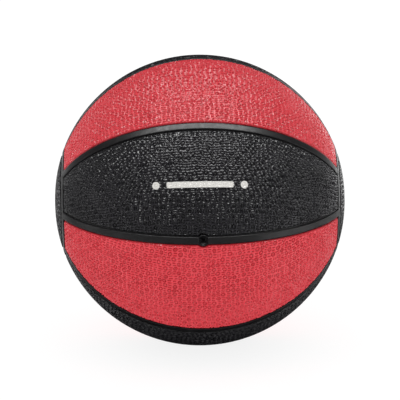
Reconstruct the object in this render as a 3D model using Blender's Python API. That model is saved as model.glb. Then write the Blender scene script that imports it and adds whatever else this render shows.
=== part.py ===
"""Inflatable rubber medicine ball: a two-colour cover over a wound and weighted core with an air valve.

The ball's centre is the origin. Its pole axis, through the middles of the two caps, is X. The valve faces
-Y and up is +Z. A place on the ball is given by its latitude, the angle towards the +X pole, and by its
turn, the angle about the pole axis from -Y towards +Z. The valve's own parts are turned about the Y axis.
"""

import math

import bmesh
import bpy
from mathutils import Matrix, Vector

# The ball and its layers, from the outside in
BALL_RADIUS = 0.115
POLE_FLATTENING = 0.0006
FLATTENING_START = math.radians(60)
COVER_THICKNESS = 0.004
COVER_GAP = 0.001
WINDING_THICKNESS = 0.0024
WEIGHT_THICKNESS = 0.0175
BLADDER_THICKNESS = 0.0022
LAYER_GAP = 0.0004

# The layout of the cover
GORE_PAIRS = 4
BLACK_GORE_ANGLE = math.radians(44.3)
STRIP_HALF_WIDTH = 0.0027
GROOVE_WIDTH = 0.0009
GROOVE_ROOT = 0.0004
RING_OUTER_LATITUDE = math.radians(68.2)
RING_WIDTH = 0.0040
CAP_GROOVE_WIDTH = 0.0022

# The valve
PAD_RADIUS = 0.0044
PAD_HOLE_RADIUS = 0.0036
BOOT_RADIUS = 0.0031
BOOT_BORE_RADIUS = 0.0023
BOOT_RECESS = 0.0004
FLANGE_RADIUS = 0.013
FLANGE_THICKNESS = 0.0016
PLUG_RADIUS = 0.0020
PLUG_LENGTH = 0.022
PLUG_RECESS = 0.0012
FUNNEL_RADIUS = 0.0013
FUNNEL_DEPTH = 0.0016
NEEDLE_HOLE_RADIUS = 0.0007
NEEDLE_HOLE_DEPTH = 0.015

# The fineness of the faceted surfaces
GORE_ROWS = 14
GORE_COLUMNS = 5
RING_SEGMENTS = 40
CAP_ROWS = 3
SHELL_SEGMENTS = 32
SHELL_ROWS = 14
VALVE_SEGMENTS = 24
FLANGE_ROWS = 4

# Each material's colour, metallic value and roughness
MATERIALS = {
    "black_rubber": ((0.022, 0.022, 0.025), 0.0, 0.48),
    "red_rubber": ((0.60, 0.055, 0.065), 0.0, 0.45),
    "seam_rubber": ((0.018, 0.018, 0.020), 0.0, 0.38),
    "weight_rubber": ((0.045, 0.045, 0.045), 0.0, 0.60),
    "winding_cord": ((0.72, 0.68, 0.58), 0.0, 0.75),
    "bladder_rubber": ((0.028, 0.028, 0.030), 0.0, 0.42),
    "valve_rubber": ((0.020, 0.020, 0.022), 0.0, 0.40),
}

FULL_TURN = 2 * math.pi
RED_GORE_ANGLE = FULL_TURN / GORE_PAIRS - BLACK_GORE_ANGLE
COVER_INNER_RADIUS = BALL_RADIUS - COVER_THICKNESS
WINDING_RADIUS = COVER_INNER_RADIUS - COVER_GAP
WEIGHT_RADIUS = WINDING_RADIUS - WINDING_THICKNESS - LAYER_GAP
BLADDER_RADIUS = WEIGHT_RADIUS - WEIGHT_THICKNESS - LAYER_GAP
BLADDER_INNER_RADIUS = BLADDER_RADIUS - BLADDER_THICKNESS
FLANGE_OUTER_RADIUS = BLADDER_INNER_RADIUS - 2 * LAYER_GAP
FLANGE_INNER_RADIUS = FLANGE_OUTER_RADIUS - FLANGE_THICKNESS
RING_INNER_LATITUDE = RING_OUTER_LATITUDE + RING_WIDTH / BALL_RADIUS
GORE_END_LATITUDE = RING_OUTER_LATITUDE - GROOVE_WIDTH / BALL_RADIUS
CAP_EDGE_LATITUDE = RING_INNER_LATITUDE + CAP_GROOVE_WIDTH / BALL_RADIUS
GAP_LATITUDE = GROOVE_ROOT / BALL_RADIUS
PANEL_EDGE_OUTER = STRIP_HALF_WIDTH + GROOVE_WIDTH
PANEL_EDGE_INNER = STRIP_HALF_WIDTH + GROOVE_ROOT
VALVE_AXIS = Vector((0, -1, 0))
CONE_TO_VALVE_AXIS = Matrix.Rotation(math.radians(90), 4, "X")


def clear_scene():
    for item in list(bpy.data.objects):
        bpy.data.objects.remove(item)


def make_material(name):
    color, metallic, roughness = MATERIALS[name]
    material = bpy.data.materials.new(name)
    material.use_nodes = True
    shader = material.node_tree.nodes["Principled BSDF"]
    shader.inputs["Base Color"].default_value = (*color, 1.0)
    shader.inputs["Metallic"].default_value = metallic
    shader.inputs["Roughness"].default_value = roughness
    material.diffuse_color = (*color, 1.0)
    return material


def add_object(name, mesh_data, material):
    """Turns a bmesh into a smooth-shaded object whose creases stay sharp."""
    bmesh.ops.recalc_face_normals(mesh_data, faces=mesh_data.faces)
    mesh = bpy.data.meshes.new(name)
    mesh_data.to_mesh(mesh)
    mesh_data.free()
    mesh.materials.append(material)
    mesh.shade_smooth()
    mesh.set_sharp_from_angle(angle=math.radians(35))
    placed = bpy.data.objects.new(name, mesh)
    bpy.context.scene.collection.objects.link(placed)
    return placed


def ball_point(radius, latitude, turn):
    """The point at this radius from the ball's centre, in the direction of this latitude and turn."""
    around = radius * math.cos(latitude)
    return Vector((radius * math.sin(latitude), -around * math.cos(turn), around * math.sin(turn)))


def surface_radius(latitude):
    """The cover's outer radius, a little less near the poles, where the moulded caps are flatter."""
    past_start = max(0.0, abs(latitude) - FLATTENING_START) / (math.pi / 2 - FLATTENING_START)
    return BALL_RADIUS - POLE_FLATTENING * past_start**2


def turn_beside_seam(distance, radius, latitude):
    """The turn away from a seam at which a point is this distance from the seam's own plane."""
    return math.asin(distance / (radius * math.cos(latitude)))


def block(rows, columns, corner):
    """A closed curved block of quads. corner(u, v, outer) gives its points for u and v from 0 to 1."""
    mesh_data = bmesh.new()
    grid = [
        [
            [mesh_data.verts.new(corner(i / rows, j / columns, outer)) for j in range(columns + 1)]
            for i in range(rows + 1)
        ]
        for outer in (False, True)
    ]
    for layer in grid:
        for i in range(rows):
            for j in range(columns):
                mesh_data.faces.new((layer[i][j], layer[i + 1][j], layer[i + 1][j + 1], layer[i][j + 1]))
    inner, outer = grid
    for j in (0, columns):
        for i in range(rows):
            mesh_data.faces.new((inner[i][j], inner[i + 1][j], outer[i + 1][j], outer[i][j]))
    for i in (0, rows):
        for j in range(columns):
            mesh_data.faces.new((inner[i][j], inner[i][j + 1], outer[i][j + 1], outer[i][j]))
    return mesh_data


def turned(profile, segments, axis):
    """A closed solid turned about an axis through the centre, from (along axis, radius) points.

    A profile that starts and ends on the axis closes there, and any other is a loop.
    """
    mesh_data = bmesh.new()
    side = Vector((0, 0, 1))
    verts = [mesh_data.verts.new(axis * along + side * radius) for along, radius in profile]
    edges = [mesh_data.edges.new(pair) for pair in zip(verts, verts[1:])]
    if profile[0][1] > 0:
        edges.append(mesh_data.edges.new((verts[-1], verts[0])))
    bmesh.ops.spin(
        mesh_data,
        geom=verts + edges,
        cent=(0, 0, 0),
        axis=axis,
        angle=FULL_TURN,
        steps=segments,
        use_merge=True,
    )
    bmesh.ops.remove_doubles(mesh_data, verts=mesh_data.verts, dist=1e-6)
    return mesh_data


def make_gore_panel(name, lower_seam, upper_seam, material):
    """One gore of the cover, from strip to strip and from ring to ring."""

    def corner(u, v, outer):
        end_latitude = GORE_END_LATITUDE if outer else RING_OUTER_LATITUDE - GAP_LATITUDE
        latitude = end_latitude * (2 * u - 1)
        radius = surface_radius(latitude) if outer else COVER_INNER_RADIUS
        edge = PANEL_EDGE_OUTER if outer else PANEL_EDGE_INNER
        beside = turn_beside_seam(edge, radius, latitude)
        turn = lower_seam + beside + v * (upper_seam - lower_seam - 2 * beside)
        return ball_point(radius, latitude, turn)

    return add_object(name, block(GORE_ROWS, GORE_COLUMNS, corner), material)


def make_seam_strip(name, seam, material):
    """The smooth strip that covers one seam between two gores, of constant width from ring to ring."""

    def corner(u, v, outer):
        latitude = (RING_OUTER_LATITUDE - GAP_LATITUDE) * (2 * u - 1)
        radius = surface_radius(latitude) if outer else COVER_INNER_RADIUS
        beside = turn_beside_seam(STRIP_HALF_WIDTH * (2 * v - 1), radius, latitude)
        return ball_point(radius, latitude, seam + beside)

    return add_object(name, block(GORE_ROWS, 2, corner), material)


def cap_arc(radius_at, start, end, steps):
    """Points (along, radius) of an arc about the centre between two latitudes."""
    latitudes = [start + (end - start) * i / steps for i in range(steps + 1)]
    return [(radius_at(lat) * math.sin(lat), radius_at(lat) * math.cos(lat)) for lat in latitudes]


def make_cap_ring(name, side, material):
    """The smooth ring strip between the gores and one cap."""
    outer = cap_arc(surface_radius, RING_OUTER_LATITUDE, RING_INNER_LATITUDE, 2)
    inner = cap_arc(lambda _: COVER_INNER_RADIUS, RING_INNER_LATITUDE, RING_OUTER_LATITUDE, 1)
    return add_object(name, turned(outer + inner, RING_SEGMENTS, Vector((side, 0, 0))), material)


def make_cap_panel(name, side, material):
    """The round textured panel at one pole."""
    pole = math.pi / 2
    root_latitude = RING_INNER_LATITUDE + GAP_LATITUDE
    outer = cap_arc(surface_radius, CAP_EDGE_LATITUDE, pole, CAP_ROWS)
    inner = cap_arc(lambda _: COVER_INNER_RADIUS, root_latitude, pole, CAP_ROWS)
    outer[-1] = (outer[-1][0], 0.0)
    inner[-1] = (inner[-1][0], 0.0)
    profile = outer[::-1] + inner
    return add_object(name, turned(profile, RING_SEGMENTS, Vector((side, 0, 0))), material)


def make_core_shell(name, radius, thickness, opening_radius, material):
    """One hollow layer of the core, with an opening at -Y for the valve boot."""

    def arc(layer_radius):
        start = math.asin(opening_radius / layer_radius)
        angles = [start + (math.pi - start) * i / SHELL_ROWS for i in range(SHELL_ROWS + 1)]
        points = [(layer_radius * math.cos(angle), layer_radius * math.sin(angle)) for angle in angles]
        points[-1] = (-layer_radius, 0.0)
        return points

    profile = arc(radius)[::-1] + arc(radius - thickness)
    return add_object(name, turned(profile, SHELL_SEGMENTS, VALVE_AXIS), material)


def valve_cylinder(name, radius, inner_end, outer_end):
    """A cutter or joining shape about the valve's axis, between two distances from the ball's centre."""
    mesh_data = bmesh.new()
    bmesh.ops.create_cone(
        mesh_data,
        cap_ends=True,
        segments=VALVE_SEGMENTS,
        radius1=radius,
        radius2=radius,
        depth=outer_end - inner_end,
        matrix=Matrix.Translation((0, -(inner_end + outer_end) / 2, 0)) @ CONE_TO_VALVE_AXIS,
    )
    mesh = bpy.data.meshes.new(name)
    mesh_data.to_mesh(mesh)
    mesh_data.free()
    shape = bpy.data.objects.new(name, mesh)
    bpy.context.scene.collection.objects.link(shape)
    shape.hide_render = True
    shape.display_type = "WIRE"
    return shape


def add_boolean(target, shape, operation):
    modifier = target.modifiers.new(shape.name, "BOOLEAN")
    modifier.operation = operation
    modifier.solver = "EXACT"
    modifier.object = shape


def fit_valve_into_cover(strip, panels):
    """Widens the valve's strip into a round pad with a hole, and notches the panels beside it."""
    inside = COVER_INNER_RADIUS - COVER_THICKNESS
    outside = BALL_RADIUS + COVER_THICKNESS
    pad_top = math.sqrt(BALL_RADIUS**2 - PAD_RADIUS**2)
    pad = valve_cylinder("pad_shape", PAD_RADIUS, COVER_INNER_RADIUS, pad_top)
    hole = valve_cylinder("hole_shape", PAD_HOLE_RADIUS, inside, outside)
    notch = valve_cylinder("notch_shape", PAD_RADIUS + GROOVE_WIDTH / 2, inside, outside)
    add_boolean(strip, pad, "UNION")
    add_boolean(strip, hole, "DIFFERENCE")
    for panel in panels:
        add_boolean(panel, notch, "DIFFERENCE")


def flange_arc(radius, start, end):
    """Points (along, radius) of an arc about the centre, between two angles off the valve's axis."""
    angles = [start + (end - start) * i / FLANGE_ROWS for i in range(FLANGE_ROWS + 1)]
    return [(radius * math.cos(angle), radius * math.sin(angle)) for angle in angles]


def make_valve_boot(material):
    """The rubber sleeve that holds the plug, with a flange that follows the bladder's inner surface."""
    top = BALL_RADIUS - BOOT_RECESS
    flange_end = math.asin(FLANGE_RADIUS / FLANGE_OUTER_RADIUS)
    sleeve_end = math.asin(BOOT_RADIUS / FLANGE_OUTER_RADIUS)
    bore_end = math.asin(BOOT_BORE_RADIUS / FLANGE_INNER_RADIUS)
    profile = [(top, BOOT_BORE_RADIUS), (top, BOOT_RADIUS)]
    profile += flange_arc(FLANGE_OUTER_RADIUS, sleeve_end, flange_end)
    profile += flange_arc(FLANGE_INNER_RADIUS, flange_end, bore_end)
    return add_object("valve_boot", turned(profile, VALVE_SEGMENTS, VALVE_AXIS), material)


def make_valve_plug(material):
    """The plug that a needle goes through: a rod with a funnel, a blind needle hole and a closed round tip."""
    face = BALL_RADIUS - PLUG_RECESS
    tip = face - PLUG_LENGTH
    profile = [
        (face - NEEDLE_HOLE_DEPTH, 0.0),
        (face - NEEDLE_HOLE_DEPTH, NEEDLE_HOLE_RADIUS),
        (face - FUNNEL_DEPTH, NEEDLE_HOLE_RADIUS),
        (face, FUNNEL_RADIUS),
        (face, PLUG_RADIUS),
        (tip + PLUG_RADIUS, PLUG_RADIUS),
        (tip + PLUG_RADIUS * (1 - math.sin(math.pi / 4)), PLUG_RADIUS * math.cos(math.pi / 4)),
        (tip, 0.0),
    ]
    return add_object("valve_plug", turned(profile, VALVE_SEGMENTS, VALVE_AXIS), material)


def build_cover(materials):
    """The panels, strips, rings and caps. Strip 1 is the lower edge of black panel 1 and holds the valve."""
    panels = []
    strips = []
    for pair in range(GORE_PAIRS):
        lower = pair * FULL_TURN / GORE_PAIRS
        middle = lower + BLACK_GORE_ANGLE
        upper = middle + RED_GORE_ANGLE
        number = pair + 1
        black, red = materials["black_rubber"], materials["red_rubber"]
        panels.append(make_gore_panel(f"black_panel_{number}", lower, middle, black))
        panels.append(make_gore_panel(f"red_panel_{number}", middle, upper, red))
        for count, seam in ((2 * pair + 1, lower), (2 * pair + 2, middle)):
            strips.append(make_seam_strip(f"seam_strip_{count}", seam, materials["seam_rubber"]))
    for word, side in (("left", -1), ("right", 1)):
        make_cap_ring(f"cap_ring_{word}", side, materials["seam_rubber"])
        make_cap_panel(f"cap_panel_{word}", side, materials["black_rubber"])
    fit_valve_into_cover(strips[0], (panels[0], panels[-1]))


def build_core(materials):
    """The three hollow layers under the cover."""
    opening = BOOT_RADIUS + LAYER_GAP
    layers = (
        ("cord_winding", WINDING_RADIUS, WINDING_THICKNESS, "winding_cord"),
        ("weight_shell", WEIGHT_RADIUS, WEIGHT_THICKNESS, "weight_rubber"),
        ("air_bladder", BLADDER_RADIUS, BLADDER_THICKNESS, "bladder_rubber"),
    )
    for name, radius, thickness, material in layers:
        make_core_shell(name, radius, thickness, opening, materials[material])


def main():
    clear_scene()
    materials = {name: make_material(name) for name in MATERIALS}
    build_cover(materials)
    build_core(materials)
    make_valve_boot(materials["valve_rubber"])
    make_valve_plug(materials["valve_rubber"])


main()
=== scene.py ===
"""Looks of the medicine ball: textured gores and caps, smooth seam strips and the air valve.

A place on the ball is given by its latitude, the angle towards the +X pole, and by its turn, the angle about
the pole axis from -Y, where the valve is, towards +Z. Lengths are in metres where nothing else is said.
"""

import math

import bmesh
import bpy
import numpy as np
from mathutils import Matrix, Vector


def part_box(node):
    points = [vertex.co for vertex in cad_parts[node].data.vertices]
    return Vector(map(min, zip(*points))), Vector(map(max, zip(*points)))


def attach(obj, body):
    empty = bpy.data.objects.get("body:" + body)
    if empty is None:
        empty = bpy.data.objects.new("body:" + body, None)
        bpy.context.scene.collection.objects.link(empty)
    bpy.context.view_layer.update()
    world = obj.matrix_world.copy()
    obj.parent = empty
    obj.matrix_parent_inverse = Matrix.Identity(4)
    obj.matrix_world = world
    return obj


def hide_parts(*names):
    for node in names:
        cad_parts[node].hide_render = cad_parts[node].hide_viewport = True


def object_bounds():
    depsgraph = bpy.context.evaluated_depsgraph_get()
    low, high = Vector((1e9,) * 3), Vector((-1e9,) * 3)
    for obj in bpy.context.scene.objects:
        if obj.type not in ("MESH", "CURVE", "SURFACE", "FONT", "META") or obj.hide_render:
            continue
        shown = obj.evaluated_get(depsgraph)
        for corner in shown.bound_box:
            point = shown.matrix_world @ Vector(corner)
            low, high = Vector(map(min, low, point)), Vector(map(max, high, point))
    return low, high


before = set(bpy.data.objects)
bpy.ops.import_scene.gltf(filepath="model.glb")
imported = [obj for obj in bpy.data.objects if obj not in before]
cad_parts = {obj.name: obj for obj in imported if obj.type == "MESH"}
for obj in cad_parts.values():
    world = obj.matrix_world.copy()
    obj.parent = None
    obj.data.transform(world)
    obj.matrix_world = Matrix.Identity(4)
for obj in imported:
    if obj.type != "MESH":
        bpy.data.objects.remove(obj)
cad_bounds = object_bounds()

MM = 0.001

# The ball's own dimensions: the radius is the height of the strip on top
BALL_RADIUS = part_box("seam_strip_3")[1].z
POLE_FLATTENING = BALL_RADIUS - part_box("cap_panel_right")[1].x
FLATTENING_START = math.radians(60)
GORE_PAIRS = 4
BLACK_GORE_ANGLE = math.radians(44.3)
RED_GORE_ANGLE = 2 * math.pi / GORE_PAIRS - BLACK_GORE_ANGLE

# The panels: how far they lie below the strips, their edges, and the steps of their meshes
PANEL_DROP = 0.73 * MM
EDGE_ROUNDING = 0.55 * MM
WALL_DEPTH = 1.3 * MM
PANEL_BACK = 3.9 * MM
WALL_STEPS = np.array([0.5 * WALL_DEPTH, WALL_DEPTH, PANEL_BACK])
WALL_ROWS = len(WALL_STEPS)
MESH_STEP = 0.535 * MM
BACK_STEP = 18
SHARP_ANGLE = math.radians(50)

# The moulded texture: cells of pips and dashes, which fade out between two distances from a panel's edge
RELIEF_HEIGHT = 0.72 * MM
RELIEF_FADE = (0.2 * MM, 0.9 * MM)
PIP_SHARE = 0.9
STRAY_PIP_SHARE = 0.08
DIMPLED_SHARE = 0.5
UPRIGHT_SHARE = 0.06
DASH_DEPTH = 0.9
SHALLOWEST_CELL = 0.85

# The texture's cells and the slow waves that bend their rows, in millimetres
COLUMN_PITCH = 3.7
ROW_PITCH = 3.95
WAVE_REACH = 0.7

# How much the cells differ, in shares of a cell
ROW_SHIFT = 0.6
CELL_JITTER = 0.06
CELL_TILT = 0.3

# One cell's grooves, in shares of a cell: how far each fades, and where it lies
GROOVE_CORE = 0.02
PIP_RADIUS = 0.34
PIP_GROOVE_HALF_WIDTH = 0.18
DIMPLE_RADIUS = 0.16
DASH_OFFSET = 0.25
DASH_HALF_WIDTH = 0.20
DASH_END_FADE = 0.08
SHORTEST_DASH = 0.30
DASH_VARIATION = 0.12

# The printed mark, in millimetres: its middle from its panel's middle, its bar, and its two dots
MARK_PLACE = (-1.9, -2.0)
MARK_BAR = (24.0, 1.0)
MARK_BAR_ROUNDING = 1.3
MARK_DOT_PLACE = 33.5
MARK_DOT_RADIUS = 2.9

# The line where the two halves of the mould met. Its height and half widths are in millimetres
PARTING_HEIGHT = 3.4
PARTING_DEPTH = 0.28 * MM
PARTING_CORE = 0.1
CAP_PARTING_HALF_WIDTH = 0.45
RING_PARTING_HALF_WIDTH = 0.6

# The strips, the rings and their grooves
STRIP_HALF_WIDTH = 2.7 * MM
GROOVE_WIDTH = 0.9 * MM
GROOVE_DEPTH = 1.4 * MM
CAP_GROOVE_DEPTH = 1.8 * MM
LEDGE_GAP = 0.1 * MM
STRIP_FOOT = 0.08 * MM
FOOT_RISE = 0.1 * MM
STRIP_ROUNDING = 0.6 * MM
STRIP_END_GAP = 0.02 * MM
STRIP_ROWS = 240
RING_SEGMENTS = 360
RING_OUTER_LATITUDE = math.radians(68.2)
RING_INNER_LATITUDE = RING_OUTER_LATITUDE + 4.0 * MM / BALL_RADIUS
CAP_EDGE_LATITUDE = RING_INNER_LATITUDE + 2.2 * MM / BALL_RADIUS
PANEL_EDGE = STRIP_HALF_WIDTH + GROOVE_WIDTH
GORE_END_LATITUDE = RING_OUTER_LATITUDE - GROOVE_WIDTH / BALL_RADIUS

# The valve
PAD_RADIUS = 4.4 * MM
PAD_HOLE_RADIUS = 3.6 * MM
BOOT_RADIUS = 3.1 * MM
BOOT_BORE_RADIUS = 2.3 * MM
PAD_GROOVE_WIDTH = 0.8 * MM
PAD_INNER_ROUNDING = 0.35 * MM
PAD_OUTER_ROUNDING = 0.4 * MM
DISH_WIDTH = 0.6 * MM
BOOT_RIM_ROUNDING = 0.1 * MM
FLANGE_THICKNESS = 1.6 * MM
PLUG_ROUNDING = 0.3 * MM
FUNNEL_RADIUS = 1.5 * MM
FUNNEL_DEPTH = 2.0 * MM
NEEDLE_HOLE_RADIUS = 0.7 * MM
NEEDLE_HOLE_DEPTH = 15 * MM
VALVE_SEGMENTS = 96

# The room: how white it is, and the tones that the rubber mirrors. Each pair is how far a direction leans
# towards an axis, and its tone: up for the table, right for the cards, and down behind the ball for the shade
ROOM_LIGHT = 0.95
TABLE_TONES = ((-1.0, 0.75), (-0.1, 0.75), (0.0, 0.5), (0.12, 0.13), (1.0, 0.13))
CARD_TONES = ((-1.0, 0.8), (-0.8, 0.7), (-0.55, 0.45), (0.55, 0.45), (0.8, 0.8), (1.0, 1.0))
SHADE_DIRECTION = (0.0, 0.45, -0.89)
SHADE_TONES = ((-1.0, 1.0), (0.62, 1.0), (0.83, 0.15), (0.93, 0.03), (1.0, 0.02))
PATCH_SCALE = 4.5
PATCH_LIMITS = (0.53, 0.57)
PATCH_BRIGHTNESS = 4.2

# The floor
FLOOR_REACH = 12.0
FLOOR_STEPS = 24
FLOOR_TONE = 0.22
FLOOR_GLOW = 0.85

# The camera: its distance in ball radii, and how much wider its view is than the ball
CAMERA_DISTANCE = 16.0
VIEW_WIDTH = 1.375043
SENSOR_WIDTH = 36.0
CAMERA_SHIFT = 0.0005
CAMERA_ELEVATION = math.radians(15.35)
CAMERA_AZIMUTH = math.radians(-1.2)
CAMERA_ROLL = math.radians(-0.32)


def surface_radius(latitude):
    """The cover's outer radius, a little less near the poles, where the moulded caps are flatter."""
    past_start = np.clip(np.abs(latitude) - FLATTENING_START, 0, None) / (math.pi / 2 - FLATTENING_START)
    return BALL_RADIUS - POLE_FLATTENING * past_start**2


def ball_points(radius, latitude, turn):
    """Points in an array with one more axis of x, y and z."""
    around = radius * np.cos(latitude)
    return np.stack([radius * np.sin(latitude), -around * np.cos(turn), around * np.sin(turn)], axis=-1)


def smooth(low, high, values):
    """A soft step from 0 at low to 1 at high, which may also be the lower of the two."""
    share = np.clip((values - low) / (high - low), 0, 1)
    return share * share * (3 - 2 * share)


def hashed(i, j, salt):
    """A repeatable random number from 0 to 1 for each whole pair."""
    mixed = np.sin(i * 127.1 + j * 311.7 + salt * 74.7) * 43758.5453
    return mixed - np.floor(mixed)


def wavy(x, y, salt):
    """A slow, repeatable wave between about -1 and 1, for places in millimetres."""
    return (
        np.sin(x * 0.31 + 1.7 * salt + 1.3 * np.sin(y * 0.23 + salt))
        + np.sin(y * 0.37 - 0.9 * salt + 1.1 * np.sin(x * 0.19 - salt))
    ) / 2


def dashes(along, across, length):
    """The depth from 0 to 1 of two short grooves side by side in one cell, with ridges between them."""
    lane = np.abs(np.abs(across) - DASH_OFFSET)
    ends = smooth(length + DASH_END_FADE, length - DASH_END_FADE, np.abs(along))
    return smooth(DASH_HALF_WIDTH, GROOVE_CORE, lane) * ends


def ring_groove(along, across, dimple):
    """The depth from 0 to 1 of a round groove about a pip, which may have a dimple in its middle."""
    radius = np.hypot(along, across)
    groove = smooth(PIP_GROOVE_HALF_WIDTH, GROOVE_CORE, np.abs(radius - PIP_RADIUS))
    return np.maximum(groove, dimple * smooth(DIMPLE_RADIUS, GROOVE_CORE, radius))


def relief(x, y, salt):
    """The moulded texture's height from 0 to 1, for places in millimetres: round pips among short dashes."""
    x = x + WAVE_REACH * wavy(x, y, salt)
    y = y + WAVE_REACH * wavy(y, x, salt + 5)
    row = np.floor(y / ROW_PITCH)
    x = x + ROW_SHIFT * COLUMN_PITCH * hashed(row, 0 * row, salt)
    column = np.floor(x / COLUMN_PITCH)

    def chance(number):
        return hashed(column, row, salt + number)

    a = x / COLUMN_PITCH - column - 0.5 + CELL_JITTER * (chance(1) - 0.5)
    b = y / ROW_PITCH - row - 0.5 + CELL_JITTER * (chance(2) - 0.5)
    tilt = CELL_TILT * (chance(7) - 0.5)
    along, across = a + tilt * b, b - tilt * a
    length = SHORTEST_DASH + DASH_VARIATION * chance(8)
    upright = chance(4) < UPRIGHT_SHARE
    weave = DASH_DEPTH * np.where(upright, dashes(across, along, length), dashes(along, across, length))
    pips = ring_groove(a, b, 1.0 * (chance(5) < DIMPLED_SHARE))
    pip_share = np.where(np.mod(column + row, 2) > 0.5, PIP_SHARE, STRAY_PIP_SHARE)
    depth = np.where(chance(3) < pip_share, pips, weave)
    return 1 - depth * (SHALLOWEST_CELL + (1 - SHALLOWEST_CELL) * chance(6))


def edge_drop(distance, rounding):
    """How far a rounded edge lies below the surface at this distance from it."""
    inside = np.clip(rounding - distance, 0, rounding)
    return rounding - np.sqrt(rounding**2 - inside**2)


def piece_from(name, points, faces, material, attributes=None):
    """A smooth-shaded mesh object. faces is an array of four corners each, or a list of such arrays."""
    if isinstance(faces, np.ndarray):
        faces = [faces]
    mesh = bpy.data.meshes.new(name)
    corners = np.concatenate([part.reshape(-1) for part in faces]).astype(np.int32)
    sizes = np.concatenate([np.full(len(part), part.shape[1]) for part in faces])
    starts = np.concatenate([[0], np.cumsum(sizes)[:-1]]).astype(np.int32)
    mesh.vertices.add(len(points))
    mesh.vertices.foreach_set("co", points.astype(np.float32).reshape(-1))
    mesh.loops.add(len(corners))
    mesh.loops.foreach_set("vertex_index", corners)
    mesh.polygons.add(len(sizes))
    mesh.polygons.foreach_set("loop_start", starts)
    mesh.update(calc_edges=True)
    for key, values in (attributes or {}).items():
        layer = mesh.attributes.new(key, "FLOAT", "POINT")
        layer.data.foreach_set("value", values.astype(np.float32).reshape(-1))
    mesh.materials.append(material)
    mesh.shade_smooth()
    mesh.set_sharp_from_angle(angle=SHARP_ANGLE)
    piece = bpy.data.objects.new(name, mesh)
    bpy.context.scene.collection.objects.link(piece)
    return piece


def grid_faces(rows, columns, wrap=False):
    """Quads of a grid of points with this many rows and columns, joined round if it wraps."""
    index = np.arange(rows * columns).reshape(rows, columns)
    if wrap:
        index = np.concatenate([index, index[:, :1]], axis=1)
    corners = [index[:-1, :-1], index[1:, :-1], index[1:, 1:], index[:-1, 1:]]
    return np.stack(corners, axis=-1).reshape(-1, 4)


def spread(length, step, edge):
    """Places from 0 to 1 along a length: closer together near both ends, where the edges are rounded."""
    near = edge * np.array([0, 0.12, 0.3, 0.55, 0.85]) / length
    inner = np.linspace(1.2 * edge / length, 1 - 1.2 * edge / length, max(2, int(round(length / step))))
    return np.concatenate([near, inner, 1 - near[::-1]])


def with_walls(values):
    """Repeats the first and last rows and columns WALL_ROWS times, for the walls of a panel."""
    return np.pad(values, WALL_ROWS, mode="edge")


def wall_depths(rows, columns):
    """The depths below the edge of the points that with_walls adds."""
    down_rows = np.concatenate([WALL_STEPS[::-1], np.zeros(rows), WALL_STEPS])
    down_columns = np.concatenate([WALL_STEPS[::-1], np.zeros(columns), WALL_STEPS])
    return np.maximum(down_rows[:, None], down_columns[None, :])


def make_gore(name, seams, edges, node, material, salt, marked=False):
    """One textured gore between two seams. edges gives the panel's distance from each seam at each x."""
    rows = spread(2 * GORE_END_LATITUDE * BALL_RADIUS, MESH_STEP, EDGE_ROUNDING)
    latitude = (GORE_END_LATITUDE * (2 * rows - 1))[:, None]
    around = BALL_RADIUS * np.cos(latitude)
    x = BALL_RADIUS * np.sin(latitude)
    low = seams[0] + np.arcsin(edges[0](x) / around)
    high = seams[1] - np.arcsin(edges[1](x) / around)
    widest = BALL_RADIUS * (seams[1] - seams[0])
    columns = spread(widest, MESH_STEP, EDGE_ROUNDING)[None, :]
    turn = low + (high - low) * columns
    latitude = latitude + 0 * turn
    beside = np.minimum(turn - low, high - turn) * around
    to_end = (GORE_END_LATITUDE - np.abs(latitude)) * BALL_RADIUS
    border = np.minimum(beside, to_end)
    along = BALL_RADIUS * latitude / MM
    across = BALL_RADIUS * np.cos(latitude) * (turn - (seams[0] + seams[1]) / 2) / MM
    height = relief(along, across, salt) * smooth(*RELIEF_FADE, border)
    radius = surface_radius(latitude) - PANEL_DROP + RELIEF_HEIGHT * height
    radius = radius - edge_drop(border, EDGE_ROUNDING)
    shape = latitude.shape
    radius = with_walls(radius) - wall_depths(*shape)
    latitude, turn = with_walls(latitude), with_walls(turn)
    points = ball_points(radius, latitude, turn).reshape(-1, 3)
    back_points, back_faces = panel_back(latitude, turn)
    extra = np.zeros(len(back_points))
    attributes = {"relief": np.concatenate([with_walls(height).reshape(-1), extra])}
    if marked:
        distance = with_walls(mark_distance(along, across)).reshape(-1)
        attributes["mark"] = np.concatenate([distance, extra + 1])
    points = np.concatenate([points, back_points])
    piece = piece_from(name, points, [grid_faces(*latitude.shape), *back_faces], material, attributes)
    merge_corners(piece)
    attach(piece, "ball")
    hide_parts(node)
    return piece


def merge_corners(piece):
    """Merges the points that with_walls repeats at a panel's corners."""
    shape = bmesh.new()
    shape.from_mesh(piece.data)
    bmesh.ops.remove_doubles(shape, verts=shape.verts, dist=0.0001 * MM)
    shape.to_mesh(piece.data)
    shape.free()


def coarse_places(count):
    """Every BACK_STEP-th place along a border, and its last place."""
    return list(range(0, count - BACK_STEP // 2, BACK_STEP)) + [count - 1]


def between(first, last):
    """The places of a border from first up to last, without last."""
    step = 1 if last > first else -1
    return list(range(first, last, step))


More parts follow.
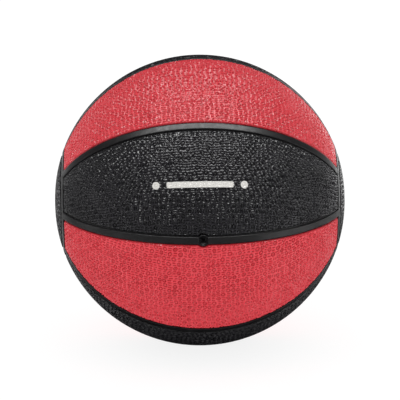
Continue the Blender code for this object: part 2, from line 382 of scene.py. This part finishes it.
def panel_back(latitude, turn):
    """A coarse sheet that closes a panel's back: its inner points, and faces that use all border points."""
    rows, columns = latitude.shape
    lines = coarse_places(rows)
    posts = coarse_places(columns)
    inside = [(row, column) for row in lines[1:-1] for column in posts[1:-1]]
    number = {place: rows * columns + count for count, place in enumerate(inside)}
    radius = surface_radius(latitude) - PANEL_BACK
    points = [ball_points(radius[place], latitude[place], turn[place]) for place in inside]
    faces = []
    for low, high in zip(lines[:-1], lines[1:]):
        for left, right in zip(posts[:-1], posts[1:]):
            loop = [(low, c) for c in (between(left, right) if low == 0 else [left])]
            loop += [(r, right) for r in (between(low, high) if right == columns - 1 else [low])]
            loop += [(high, c) for c in (between(right, left) if high == rows - 1 else [right])]
            loop += [(r, left) for r in (between(high, low) if left == 0 else [high])]
            faces.append([number.get(place, place[0] * columns + place[1]) for place in loop])
    return np.array(points), [np.array([face]) for face in faces]


def mark_distance(along, across):
    """Signed distance in millimetres to the plain printed mark: a long bar between two round dots."""
    along = np.abs(along - MARK_PLACE[0])
    across = np.abs(across - MARK_PLACE[1])
    past_bar = [np.clip(place - half, 0, None) for place, half in zip((along, across), MARK_BAR)]
    bar = np.hypot(*past_bar) - MARK_BAR_ROUNDING
    dots = np.hypot(along - MARK_DOT_PLACE, across) - MARK_DOT_RADIUS
    return np.minimum(bar, dots)


def make_cap(name, side, node, material, salt):
    """The round textured panel at one pole."""
    arc = (math.pi / 2 - CAP_EDGE_LATITUDE) * BALL_RADIUS
    half = spread(arc, MESH_STEP, EDGE_ROUNDING)
    inner = np.linspace(0, 1, int(arc / MESH_STEP))[1:-2]
    edge = half[half > inner[-1] + 0.3 * MESH_STEP / arc]
    off_pole = (np.concatenate([inner, edge]) * arc / BALL_RADIUS)[:, None]
    segments = 2 * int(math.pi * arc / (1.05 * MESH_STEP))
    turn = np.linspace(0, 2 * math.pi, segments, endpoint=False)[None, :]
    latitude = math.pi / 2 - off_pole + 0 * turn
    border = arc - BALL_RADIUS * off_pole
    a = BALL_RADIUS * off_pole * np.cos(turn) / MM
    b = BALL_RADIUS * off_pole * np.sin(turn) / MM
    height = relief(b, a, salt) * smooth(*RELIEF_FADE, border)
    line = smooth(CAP_PARTING_HALF_WIDTH, PARTING_CORE, np.abs(b - PARTING_HEIGHT))
    parting = PARTING_DEPTH * line * (a > 0)
    drop = PANEL_DROP + edge_drop(border, EDGE_ROUNDING) + parting
    radius = surface_radius(latitude) + RELIEF_HEIGHT * height - drop
    radius = np.concatenate([radius, radius[-1:] - WALL_STEPS[:, None]])
    below = ((0, WALL_ROWS), (0, 0))
    latitude = np.pad(latitude, below, mode="edge")
    height = np.pad(height, below, mode="edge")
    turn = turn + 0 * latitude
    points = ball_points(radius, latitude, turn).reshape(-1, 3)
    rows, columns = latitude.shape
    pole_top = ball_points(surface_radius(math.pi / 2) - PANEL_DROP, math.pi / 2, 0.0)
    pole_back = ball_points(BALL_RADIUS - PANEL_BACK, math.pi / 2, 0.0)
    points = np.concatenate([points, [pole_top, pole_back]])
    height = np.concatenate([height.reshape(-1), [0, 0]])
    index = np.arange(rows * columns).reshape(rows, columns)
    first, last = index[0], index[-1]
    top_fan = np.stack([np.full(columns, rows * columns), first, np.roll(first, -1)], axis=-1)
    back_fan = np.stack([np.full(columns, rows * columns + 1), np.roll(last, -1), last], axis=-1)
    points[:, 0] *= side
    quads = grid_faces(rows, columns, wrap=True)
    faces = [quads, top_fan, back_fan]
    if side > 0:
        faces = [part[:, ::-1] for part in faces]
    piece = piece_from(name, points, faces, material, {"relief": height})
    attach(piece, "ball")
    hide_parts(node)
    return piece


def rounded_top(half_width, rounding):
    """Places across a strip and their depths, over a crown with rounded edges."""
    angles = np.radians(np.linspace(0, 90, 6))
    side = half_width - rounding + rounding * np.sin(angles)
    down = rounding - rounding * np.cos(angles)
    crown = np.linspace(0, half_width - rounding, 5)[:-1]
    across = np.concatenate([-side[::-1], -crown[:0:-1], crown, side])
    depth = np.concatenate([down[::-1], 0 * crown[:0:-1], 0 * crown, down])
    return across, depth


def strip_section():
    """A strip's closed section: places across it and depths, with a ledge under the groove on each side."""
    across, depth = rounded_top(STRIP_HALF_WIDTH, STRIP_ROUNDING)
    ledge = STRIP_HALF_WIDTH + GROOVE_WIDTH - LEDGE_GAP
    side_across = np.array([ledge, ledge, STRIP_HALF_WIDTH + STRIP_FOOT])
    side_depth = np.array([PANEL_BACK, GROOVE_DEPTH, GROOVE_DEPTH - FOOT_RISE])
    across = np.concatenate([-side_across, across, side_across[::-1]])
    depth = np.concatenate([side_depth, depth, side_depth[::-1]])
    return across, depth


def make_strip(name, seam, node, material):
    """The smooth strip over one seam, of constant width from ring to ring."""
    end = RING_OUTER_LATITUDE - STRIP_END_GAP / BALL_RADIUS
    latitude = (np.linspace(-1, 1, STRIP_ROWS) * end)[:, None]
    across, depth = strip_section()
    radius = surface_radius(latitude) - depth[None, :]
    turn = seam + np.arcsin(across[None, :] / (BALL_RADIUS * np.cos(latitude)))
    points = ball_points(radius, latitude + 0 * turn, turn)
    index = np.arange(turn.size).reshape(turn.shape)
    faces = [grid_faces(*turn.shape, wrap=True), index[:1, :].copy(), index[-1:, ::-1].copy()]
    piece = piece_from(name, points.reshape(-1, 3), faces, material)
    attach(piece, "ball")
    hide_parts(node)
    return piece


def make_ring(name, side, node, material):
    """The smooth ring strip round one cap, with a ledge that floors the groove on each side."""
    half_width = (RING_INNER_LATITUDE - RING_OUTER_LATITUDE) * BALL_RADIUS / 2
    middle = (RING_OUTER_LATITUDE + RING_INNER_LATITUDE) / 2
    across, depth = rounded_top(half_width, STRIP_ROUNDING)
    gore_ledge = half_width + GROOVE_WIDTH - LEDGE_GAP
    cap_ledge = half_width + (CAP_EDGE_LATITUDE - RING_INNER_LATITUDE) * BALL_RADIUS - LEDGE_GAP
    across = np.concatenate([[-gore_ledge, -gore_ledge, -half_width - STRIP_FOOT], across])
    across = np.concatenate([across, [half_width + STRIP_FOOT, cap_ledge, cap_ledge]])
    depth = np.concatenate([[PANEL_BACK, GROOVE_DEPTH, GROOVE_DEPTH - FOOT_RISE], depth])
    depth = np.concatenate([depth, [CAP_GROOVE_DEPTH - FOOT_RISE, CAP_GROOVE_DEPTH, PANEL_BACK]])
    latitude = (middle + across / BALL_RADIUS)[:, None]
    turn = np.linspace(0, 2 * math.pi, RING_SEGMENTS, endpoint=False)[None, :]
    offset = BALL_RADIUS * math.cos(middle) * np.sin(turn) / MM - PARTING_HEIGHT
    line = smooth(RING_PARTING_HALF_WIDTH, PARTING_CORE, np.abs(offset))
    parting = PARTING_DEPTH * line * (np.cos(turn) > 0)
    shallow = (depth < 0.5 * GROOVE_DEPTH)[:, None]
    radius = surface_radius(latitude) - depth[:, None] - parting * shallow
    points = ball_points(radius, latitude + 0 * turn, turn + 0 * latitude)
    points[..., 0] *= side
    index = np.arange(radius.size).reshape(radius.shape)
    underside = np.stack([index[-1], index[0], np.roll(index[0], -1), np.roll(index[-1], -1)], axis=-1)
    faces = np.concatenate([grid_faces(*radius.shape, wrap=True), underside])
    if side < 0:
        faces = faces[:, ::-1]
    piece = piece_from(name, points.reshape(-1, 3), faces, material)
    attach(piece, "ball")
    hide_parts(node)
    return piece


def turned_about_valve(name, profile, material):
    """A closed piece turned about the valve's axis, from (distance from the centre, radius) points.

    A profile that starts and ends on the axis closes there, and any other is a loop.
    """
    on_axis = profile[0][1] == 0
    ends = [profile[0][0], profile[-1][0]]
    profile = np.array(profile[1:-1] if on_axis else profile)
    angle = np.linspace(0, 2 * math.pi, VALVE_SEGMENTS, endpoint=False)[None, :]
    along = profile[:, :1] + 0 * angle
    radius = profile[:, 1:]
    points = np.stack([radius * np.cos(angle), -along, radius * np.sin(angle)], axis=-1).reshape(-1, 3)
    index = np.arange(len(points)).reshape(len(profile), -1)
    first, last = index[0], index[-1]
    faces = [grid_faces(*index.shape, wrap=True)]
    if on_axis:
        tips = np.full_like(first, len(points))
        points = np.concatenate([points, [(0, -end, 0) for end in ends]])
        faces.append(np.stack([tips, first, np.roll(first, -1)], axis=-1))
        faces.append(np.stack([tips + 1, np.roll(last, -1), last], axis=-1))
    else:
        faces.append(np.stack([last, first, np.roll(first, -1), np.roll(last, -1)], axis=-1))
    return piece_from(name, points, faces, material)


def arc_points(centre, radius, start, end, steps):
    """Points of an arc in a profile. The angles are in degrees, from outward towards the side."""
    angles = np.radians(np.linspace(start, end, steps))
    across, up = centre[0] + radius * np.cos(angles), centre[1] + radius * np.sin(angles)
    return list(zip(across, up))


def shader_nodes(name):
    """A new material with its nodes, its links and its shader."""
    material = bpy.data.materials.new(name)
    material.use_nodes = True
    nodes = material.node_tree.nodes
    return material, nodes, material.node_tree.links, nodes["Principled BSDF"]


def noise(nodes, links, place, scale, detail=3.0, rough=0.5):
    """A noise texture in the object's own space. The scale is in features per metre."""
    texture = nodes.new("ShaderNodeTexNoise")
    texture.inputs["Scale"].default_value = scale
    texture.inputs["Detail"].default_value = detail
    texture.inputs["Roughness"].default_value = rough
    links.new(place.outputs["Object"], texture.inputs["Vector"])
    return texture


def mapped(nodes, links, source, low, high, to_low, to_high):
    """A value stretched from one range to another, and clamped there."""
    node = nodes.new("ShaderNodeMapRange")
    for key, value in zip(("From Min", "From Max", "To Min", "To Max"), (low, high, to_low, to_high)):
        node.inputs[key].default_value = value
    links.new(source, node.inputs["Value"])
    return node.outputs["Result"]


def mixed_color(nodes, links, share, low, high):
    """A colour between two, each a tuple or another node's colour."""
    node = nodes.new("ShaderNodeMix")
    node.data_type = "RGBA"
    links.new(share, node.inputs["Factor"])
    for socket, value in ((node.inputs["A"], low), (node.inputs["B"], high)):
        if isinstance(value, tuple):
            socket.default_value = (*value, 1.0)
        else:
            links.new(value, socket)
    return node.outputs["Result"]


def raise_grain(nodes, links, shader, height, strength, distance):
    """A fine bump, for grain too small for the mesh."""
    bump = nodes.new("ShaderNodeBump")
    bump.inputs["Strength"].default_value = strength
    bump.inputs["Distance"].default_value = distance
    links.new(height, bump.inputs["Height"])
    links.new(bump.outputs["Normal"], shader.inputs["Normal"])


def rubber(name, groove, top, tint, roughness, grain, mark=None):
    """Moulded rubber: painted shade in the texture's grooves, slowly mottled, with a fine mould grain."""
    material, nodes, links, shader = shader_nodes(name)
    place = nodes.new("ShaderNodeTexCoord")
    height = nodes.new("ShaderNodeAttribute")
    height.attribute_name = "relief"
    # Painted shade: the colour falls to the groove colour where the relief lies low, standing in for shade in
    # the grooves.
    unshaded_share = mapped(nodes, links, height.outputs["Fac"], 0.25, 0.95, 0.0, 1.0)
    color = mixed_color(nodes, links, unshaded_share, groove, top)
    mottle = noise(nodes, links, place, 45.0)
    share = mapped(nodes, links, mottle.outputs["Fac"], 0.35, 0.75, 0.0, 0.35)
    color = mixed_color(nodes, links, share, color, tint)
    fine = noise(nodes, links, place, 1600.0, detail=2.0)
    if mark:
        color = print_mark(nodes, links, color, fine, mark)
    links.new(color, shader.inputs["Base Color"])
    gloss = noise(nodes, links, place, 160.0)
    rough = mapped(nodes, links, gloss.outputs["Fac"], 0.3, 0.7, roughness - 0.04, roughness + 0.05)
    links.new(rough, shader.inputs["Roughness"])
    raise_grain(nodes, links, shader, fine.outputs["Fac"], grain, 0.06 * MM)
    return material


def print_mark(nodes, links, color, fine, ink):
    """Lays a plain printed mark over the rubber, thin where the grain stands up."""
    distance = nodes.new("ShaderNodeAttribute")
    distance.attribute_name = "mark"
    inside = mapped(nodes, links, distance.outputs["Fac"], -0.15, 0.1, 1.0, 0.0)
    cover = mapped(nodes, links, fine.outputs["Fac"], 0.3, 0.5, 0.75, 1.0)
    both = nodes.new("ShaderNodeMath")
    both.operation = "MULTIPLY"
    links.new(inside, both.inputs[0])
    links.new(cover, both.inputs[1])
    return mixed_color(nodes, links, both.outputs["Value"], color, ink)


def smooth_rubber(name, color, tint, roughness):
    """Smooth moulded rubber with faint flow marks."""
    material, nodes, links, shader = shader_nodes(name)
    place = nodes.new("ShaderNodeTexCoord")
    mottle = noise(nodes, links, place, 90.0)
    share = mapped(nodes, links, mottle.outputs["Fac"], 0.3, 0.7, 0.0, 1.0)
    links.new(mixed_color(nodes, links, share, color, tint), shader.inputs["Base Color"])
    gloss = noise(nodes, links, place, 260.0)
    rough = mapped(nodes, links, gloss.outputs["Fac"], 0.3, 0.7, roughness - 0.05, roughness + 0.07)
    links.new(rough, shader.inputs["Roughness"])
    fine = noise(nodes, links, place, 2200.0, detail=2.0)
    raise_grain(nodes, links, shader, fine.outputs["Fac"], 0.25, 0.03 * MM)
    return material


def wound_cord():
    """Rubber-dipped cord wound in crossing bands, with painted shade where the bands lie low."""
    material, nodes, links, shader = shader_nodes("dipped_cord")
    place = nodes.new("ShaderNodeTexCoord")
    bands = []
    for turn in (0.3, 1.4):
        tilt = nodes.new("ShaderNodeMapping")
        tilt.inputs["Rotation"].default_value = (turn, 0.4 * turn, 1.1 - turn)
        links.new(place.outputs["Object"], tilt.inputs["Vector"])
        wave = nodes.new("ShaderNodeTexWave")
        wave.inputs["Scale"].default_value = 130.0
        wave.inputs["Distortion"].default_value = 1.5
        links.new(tilt.outputs["Vector"], wave.inputs["Vector"])
        bands.append(wave)
    patches = noise(nodes, links, place, 40.0)
    share = mapped(nodes, links, patches.outputs["Fac"], 0.48, 0.52, 0.0, 1.0)
    height = mixed_color(nodes, links, share, bands[0].outputs["Color"], bands[1].outputs["Color"])
    # Painted shade: the cord darkens where its bands lie low, between the windings.
    color = mixed_color(nodes, links, height, (0.42, 0.38, 0.30), (0.74, 0.70, 0.60))
    links.new(color, shader.inputs["Base Color"])
    links.new(mapped(nodes, links, height, 0.0, 1.0, 0.85, 0.65), shader.inputs["Roughness"])
    raise_grain(nodes, links, shader, height, 0.6, 0.4 * MM)
    return material


# groove is painted shade in the texture's grooves; top and tint are the rubber's own colours.
BLACK_LOOK = {
    "groove": (0.0003, 0.0003, 0.0004),
    "top": (0.0175, 0.0162, 0.0198),
    "tint": (0.0212, 0.0195, 0.0238),
    "roughness": 0.23,
    "grain": 0.35,
}
BLACK = rubber("moulded_black_rubber", **BLACK_LOOK)
MARKED_BLACK = rubber("marked_black_rubber", **BLACK_LOOK, mark=(0.86, 0.84, 0.80))
# The red's groove colour is painted shade in the texture's grooves as well.
RED = rubber(
    "moulded_red_rubber",
    groove=(0.47, 0.010, 0.018),
    top=(0.84, 0.058, 0.078),
    tint=(0.84, 0.066, 0.088),
    roughness=0.26,
    grain=0.35,
)
SEAM = smooth_rubber("smooth_black_rubber", (0.0050, 0.0045, 0.0055), (0.0085, 0.0075, 0.0090), 0.38)
VALVE = smooth_rubber("valve_rubber", (0.0050, 0.0048, 0.0055), (0.0075, 0.0070, 0.0080), 0.36)


def plain_edge(x):
    """The panel's distance from a plain seam."""
    return PANEL_EDGE + 0 * x


def pad_edge(x):
    """The panel's distance from the valve's seam, farther where it makes room for the round pad."""
    reach = PAD_RADIUS + PAD_GROOVE_WIDTH
    round_part = np.sqrt(np.clip(reach**2 - x**2, 0, None))
    return np.maximum(PANEL_EDGE, round_part)


def build_cover():
    """The gores, strips, rings and caps, in the order of their turn from the valve."""
    for pair in range(GORE_PAIRS):
        lower = pair * 2 * math.pi / GORE_PAIRS
        middle = lower + BLACK_GORE_ANGLE
        upper = middle + RED_GORE_ANGLE
        number = pair + 1
        first = pair == 0
        last = pair == GORE_PAIRS - 1
        make_gore(
            f"black_gore_{number}",
            (lower, middle),
            (pad_edge if first else plain_edge, plain_edge),
            f"black_panel_{number}",
            MARKED_BLACK if first else BLACK,
            salt=3 + 2 * pair,
            marked=first,
        )
        make_gore(
            f"red_gore_{number}",
            (middle, upper),
            (plain_edge, pad_edge if last else plain_edge),
            f"red_panel_{number}",
            RED,
            salt=4 + 2 * pair,
        )
        make_strip(f"strip_{2 * pair + 1}", lower, f"seam_strip_{2 * pair + 1}", SEAM)
        make_strip(f"strip_{2 * pair + 2}", middle, f"seam_strip_{2 * pair + 2}", SEAM)
    for word, side in (("left", -1), ("right", 1)):
        make_ring(f"ring_{word}", side, f"cap_ring_{word}", SEAM)
        make_cap(f"cap_{word}", side, f"cap_panel_{word}", BLACK, salt=20 + side)


def cut_valve_hole():
    """Opens strip 1 for the round pad."""
    strip = bpy.data.objects["strip_1"]
    low, high = BALL_RADIUS - 2 * PANEL_BACK, BALL_RADIUS + PANEL_BACK
    radius = (PAD_RADIUS + PAD_HOLE_RADIUS) / 2
    hole = turned_about_valve("valve_hole", [(high, 0), (high, radius), (low, radius), (low, 0)], SEAM)
    cut = strip.modifiers.new("valve_hole", "BOOLEAN")
    cut.operation = "DIFFERENCE"
    cut.solver = "EXACT"
    cut.object = hole
    opened = bpy.data.meshes.new_from_object(strip.evaluated_get(bpy.context.evaluated_depsgraph_get()))
    strip.modifiers.clear()
    strip.data = opened
    bpy.data.objects.remove(hole)


def make_pad():
    """The round pad in the strip: a ring with a soft lip."""
    top = -cad_bounds[0].y
    inner, outer = PAD_INNER_ROUNDING, PAD_OUTER_ROUNDING
    profile = [(BALL_RADIUS - PANEL_BACK, PAD_HOLE_RADIUS)]
    profile += arc_points((top - inner, PAD_HOLE_RADIUS + inner), inner, -90, 0, 6)
    profile += arc_points((top - outer, PAD_RADIUS - outer), outer, 0, 90, 8)
    profile += [(BALL_RADIUS - PANEL_BACK, PAD_RADIUS)]
    pad = turned_about_valve("valve_pad", profile, SEAM)
    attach(pad, "ball")


def make_boot():
    """The sleeve that holds the plug, with a rounded rim and a flange that follows the bladder."""
    low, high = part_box("valve_boot")
    top = -low.y
    inner = math.hypot(high.y, high.x)
    outer = inner + FLANGE_THICKNESS
    rim = BOOT_RIM_ROUNDING
    dish = arc_points((top - rim, BOOT_BORE_RADIUS + DISH_WIDTH), rim, -45, 0, 3)
    profile = [(top - DISH_WIDTH, BOOT_BORE_RADIUS), *dish]
    profile += arc_points((top - rim, BOOT_RADIUS - rim), rim, 0, 90, 4)
    sleeve_end, flange_end, bore_end = (
        math.degrees(math.asin(reach / outer)) for reach in (BOOT_RADIUS, high.x, BOOT_BORE_RADIUS)
    )
    profile += arc_points((0, 0), outer, sleeve_end, flange_end, 8)
    profile += arc_points((0, 0), inner, flange_end, bore_end, 8)
    boot = turned_about_valve("boot", profile, VALVE)
    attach(boot, "ball")
    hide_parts("valve_boot")


def make_plug():
    """The plug that the needle goes through, with a rounded head, a funnel and a blind needle hole."""
    low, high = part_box("valve_plug")
    face, tip, radius = -low.y, -high.y, high.x
    edge = PLUG_ROUNDING
    throat = FUNNEL_RADIUS - NEEDLE_HOLE_RADIUS
    profile = [(face - NEEDLE_HOLE_DEPTH, 0), (face - NEEDLE_HOLE_DEPTH, NEEDLE_HOLE_RADIUS)]
    profile += arc_points((face - FUNNEL_DEPTH, FUNNEL_RADIUS), throat, -90, -30, 5)
    profile += arc_points((face - edge, FUNNEL_RADIUS + edge), edge, -60, 0, 5)
    profile += arc_points((face - edge, radius - edge), edge, 0, 90, 6)
    profile += arc_points((tip + radius, 0), radius, 90, 180, 12)
    plug = turned_about_valve("plug", profile, VALVE)
    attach(plug, "plug")
    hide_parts("valve_plug")


def make_floor():
    """A plain pale floor that glows a little, so that the ball's shadow on it stays faint."""
    line = np.linspace(-FLOOR_REACH, FLOOR_REACH, FLOOR_STEPS)
    x, y = np.meshgrid(line, line, indexing="ij")
    points = np.stack([x, y, 0 * x - BALL_RADIUS], axis=-1).reshape(-1, 3)
    material, nodes, links, shader = shader_nodes("pale_floor")
    shader.inputs["Base Color"].default_value = (FLOOR_TONE, FLOOR_TONE, FLOOR_TONE, 1)
    shader.inputs["Roughness"].default_value = 1.0
    shader.inputs["Specular IOR Level"].default_value = 0.0
    shader.inputs["Emission Color"].default_value = (1, 1, 1, 1)
    shader.inputs["Emission Strength"].default_value = FLOOR_GLOW
    material.cycles.emission_sampling = "NONE"
    floor = piece_from("floor", points, grid_faces(FLOOR_STEPS, FLOOR_STEPS)[:, ::-1], material)
    floor.visible_diffuse = False
    floor.visible_glossy = False


def along_axis(nodes, links, place, axis, tones):
    """Grey tones by how far a direction leans towards an axis, from (lean, tone) pairs from -1 to 1."""
    lean = nodes.new("ShaderNodeVectorMath")
    lean.operation = "DOT_PRODUCT"
    links.new(place.outputs["Generated"], lean.inputs[0])
    lean.inputs[1].default_value = axis
    ramp = nodes.new("ShaderNodeValToRGB")
    links.new(mapped(nodes, links, lean.outputs["Value"], -1.0, 1.0, 0.0, 1.0), ramp.inputs["Fac"])
    for dot, _ in tones[1:-1]:
        ramp.color_ramp.elements.new((dot + 1) / 2)
    for element, (_, tone) in zip(ramp.color_ramp.elements, tones):
        element.color = (tone, tone, tone, 1)
    return ramp.outputs["Color"]


def multiplied(nodes, links, first, second):
    """The product of two colours, value by value."""
    node = nodes.new("ShaderNodeVectorMath")
    node.operation = "MULTIPLY"
    links.new(first, node.inputs[0])
    links.new(second, node.inputs[1])
    return node.outputs["Vector"]


def make_world():
    """White all round for what the light falls on, and a dim, patchy room with white cards to mirror."""
    world = bpy.data.worlds.new("studio")
    bpy.context.scene.world = world
    world.use_nodes = True
    nodes = world.node_tree.nodes
    links = world.node_tree.links
    even = nodes["Background"]
    even.inputs["Color"].default_value = (1, 1, 1, 1)
    even.inputs["Strength"].default_value = ROOM_LIGHT
    place = nodes.new("ShaderNodeTexCoord")
    table = along_axis(nodes, links, place, (0, 0, 1), TABLE_TONES)
    cards = along_axis(nodes, links, place, (1, 0, 0), CARD_TONES)
    shade = along_axis(nodes, links, place, SHADE_DIRECTION, SHADE_TONES)
    texture = nodes.new("ShaderNodeTexNoise")
    texture.inputs["Scale"].default_value = PATCH_SCALE
    texture.inputs["Detail"].default_value = 1.0
    links.new(place.outputs["Generated"], texture.inputs["Vector"])
    patches = mapped(nodes, links, texture.outputs["Fac"], *PATCH_LIMITS, 0.0, PATCH_BRIGHTNESS)
    room = table
    for share in (cards, shade, patches):
        room = multiplied(nodes, links, room, share)
    mirrored = nodes.new("ShaderNodeBackground")
    links.new(room, mirrored.inputs["Color"])
    rays = nodes.new("ShaderNodeLightPath")
    choice = nodes.new("ShaderNodeMixShader")
    links.new(rays.outputs["Is Glossy Ray"], choice.inputs["Fac"])
    links.new(even.outputs["Background"], choice.inputs[1])
    links.new(mirrored.outputs["Background"], choice.inputs[2])
    links.new(choice.outputs["Shader"], nodes["World Output"].inputs["Surface"])


def soft_light(name, place, size, brightness):
    """A rectangular softbox aimed at the ball, for the gloss alone: the white room lights matte surfaces."""
    data = bpy.data.lights.new(name, "AREA")
    data.shape = "RECTANGLE"
    data.size, data.size_y = size
    data.energy = math.pi * size[0] * size[1] * brightness
    light = bpy.data.objects.new(name, data)
    light.location = place
    light.rotation_mode = "QUATERNION"
    light.rotation_quaternion = (-Vector(place)).to_track_quat("-Z", "Y")
    light.visible_camera = False
    light.visible_diffuse = False
    bpy.context.scene.collection.objects.link(light)


def make_lights():
    """One long softbox overhead and one low on each side behind the ball."""
    soft_light("overhead_softbox", (0.0, -0.36, 1.5), (2.2, 0.3), 15.0)
    soft_light("left_softbox", (-1.08, 1.85, 0.1), (0.9, 1.4), 1.15)
    soft_light("right_softbox", (1.08, 1.85, 0.1), (0.9, 1.4), 1.6)


def make_camera():
    """The camera in front of the ball, a little above it, at the photo's angle."""
    data = bpy.data.cameras.new("camera")
    data.sensor_width = SENSOR_WIDTH
    half_ball = 1 / math.sqrt(CAMERA_DISTANCE**2 - 1)
    data.lens = SENSOR_WIDTH / 2 / (half_ball * VIEW_WIDTH)
    data.shift_x = CAMERA_SHIFT
    data.clip_end = 100
    camera = bpy.data.objects.new("camera", data)
    level = Vector(
        (
            math.sin(CAMERA_AZIMUTH) * math.cos(CAMERA_ELEVATION),
            -math.cos(CAMERA_AZIMUTH) * math.cos(CAMERA_ELEVATION),
            math.sin(CAMERA_ELEVATION),
        )
    )
    camera.location = level * BALL_RADIUS * CAMERA_DISTANCE
    camera.rotation_mode = "QUATERNION"
    aim = (-level).to_track_quat("-Z", "Y")
    roll = Matrix.Rotation(CAMERA_ROLL, 4, "Z").to_quaternion()
    camera.rotation_quaternion = aim @ roll
    bpy.context.scene.collection.objects.link(camera)
    bpy.context.scene.camera = camera
    bpy.context.scene.view_settings.view_transform = "Standard"


def dress_cad_nodes():
    """Materials for the CAD solids that stay: the layers of the core."""
    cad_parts["cord_winding"].material_slots[0].material = wound_cord()
    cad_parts["weight_shell"].material_slots[0].material = smooth_rubber(
        "filled_rubber", (0.035, 0.034, 0.033), (0.060, 0.058, 0.055), 0.62
    )
    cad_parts["air_bladder"].material_slots[0].material = smooth_rubber(
        "butyl_rubber", (0.020, 0.020, 0.022), (0.030, 0.030, 0.033), 0.42
    )


make_camera()
build_cover()
cut_valve_hole()
make_pad()
make_boot()
make_plug()
dress_cad_nodes()
make_floor()
make_world()
make_lights()
